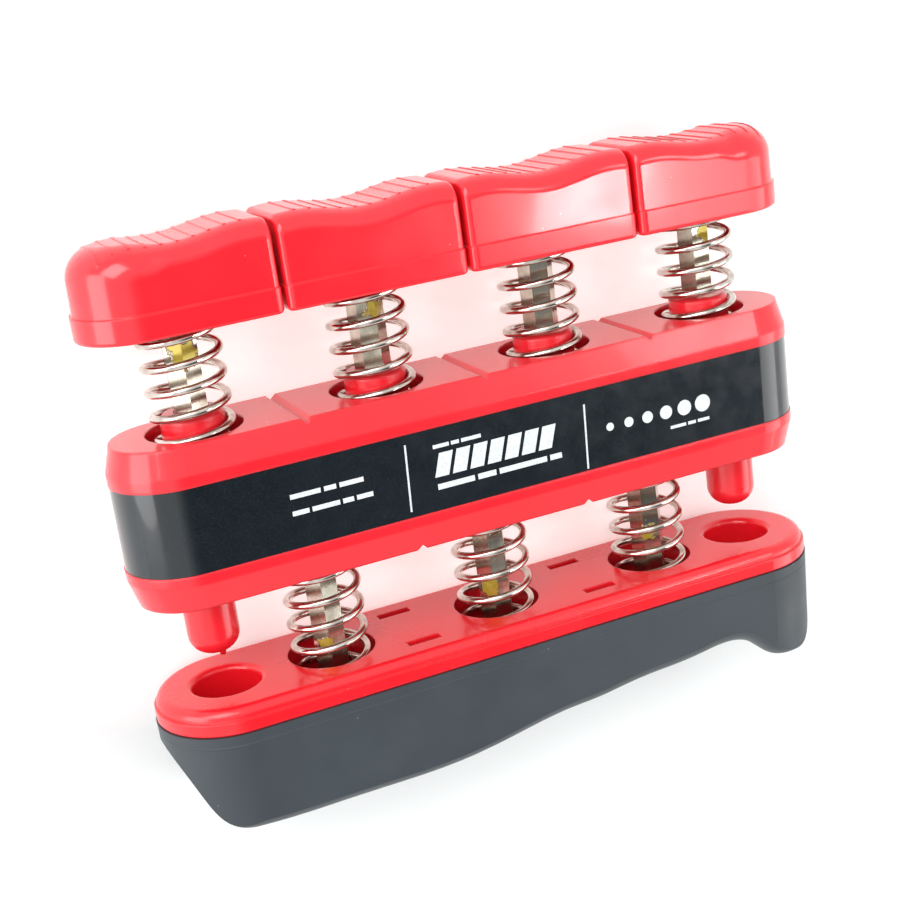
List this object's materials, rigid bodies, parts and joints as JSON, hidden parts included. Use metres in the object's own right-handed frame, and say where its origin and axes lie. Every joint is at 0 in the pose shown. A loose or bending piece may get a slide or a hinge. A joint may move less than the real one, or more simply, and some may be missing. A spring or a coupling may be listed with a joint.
{
  "type": "finger exerciser",
  "caption": "Spring-loaded hand and finger exerciser: a row of finger keys on hexagonal posts over a middle body, with a sprung palm bar below, lying on its back.",
  "frame": {"origin": "centre of the overall box in plan, on the plane the part lies on", "axes": "+X along the row of finger keys, +Y from the palm bar towards the finger keys, +Z out of the label face"},
  "size_m": [0.0786, 0.0614, 0.0162],
  "materials": {
    "body_red": "gloss injection-moulded ABS",
    "key_red": "gloss injection-moulded ABS",
    "plate_red": "gloss injection-moulded ABS",
    "label": "gloss printed film",
    "grip_black": "soft-touch matte rubber",
    "spring_steel": "nickel-plated spring wire",
    "post_steel": "bright zinc-nickel plated hexagonal bar"
  },
  "bodies": {
    "middle_body": {"upper_shell": "body_red", "lower_shell": "body_red", "label_band": "label", "key_spring_1": "spring_steel", "key_spring_2": "spring_steel", "key_spring_3": "spring_steel", "key_spring_4": "spring_steel", "palm_spring_1": "spring_steel", "palm_spring_2": "spring_steel", "palm_spring_3": "spring_steel"},
    "finger_key_1": {"key_cap_1": "key_red", "key_post_1": "post_steel"},
    "finger_key_2": {"key_cap_2": "key_red", "key_post_2": "post_steel"},
    "finger_key_3": {"key_cap_3": "key_red", "key_post_3": "post_steel"},
    "finger_key_4": {"key_cap_4": "key_red", "key_post_4": "post_steel"},
    "palm_bar": {"palm_plate": "plate_red", "palm_grip": "grip_black", "palm_post_1": "post_steel", "palm_post_2": "post_steel", "palm_post_3": "post_steel"}
  },
  "joints": [
    {"name": "key_1_press", "type": "slide", "parent": "middle_body", "child": "finger_key_1", "axis": [0, -1, 0], "range_m": [0, 0.0105], "stiffness_N_per_m": 1500, "springref_m": -0.004, "deforming": ["key_spring_1"]},
    {"name": "key_2_press", "type": "slide", "parent": "middle_body", "child": "finger_key_2", "axis": [0, -1, 0], "range_m": [0, 0.0105], "stiffness_N_per_m": 1500, "springref_m": -0.004, "deforming": ["key_spring_2"]},
    {"name": "key_3_press", "type": "slide", "parent": "middle_body", "child": "finger_key_3", "axis": [0, -1, 0], "range_m": [0, 0.0105], "stiffness_N_per_m": 1500, "springref_m": -0.004, "deforming": ["key_spring_3"]},
    {"name": "key_4_press", "type": "slide", "parent": "middle_body", "child": "finger_key_4", "axis": [0, -1, 0], "range_m": [0, 0.0105], "stiffness_N_per_m": 1500, "springref_m": -0.004, "deforming": ["key_spring_4"]},
    {"name": "palm_bar_press", "type": "slide", "parent": "middle_body", "child": "palm_bar", "axis": [0, 1, 0], "range_m": [0, 0.0104], "stiffness_N_per_m": 4500, "springref_m": -0.004, "deforming": ["palm_spring_1", "palm_spring_2", "palm_spring_3"]}
  ]
}
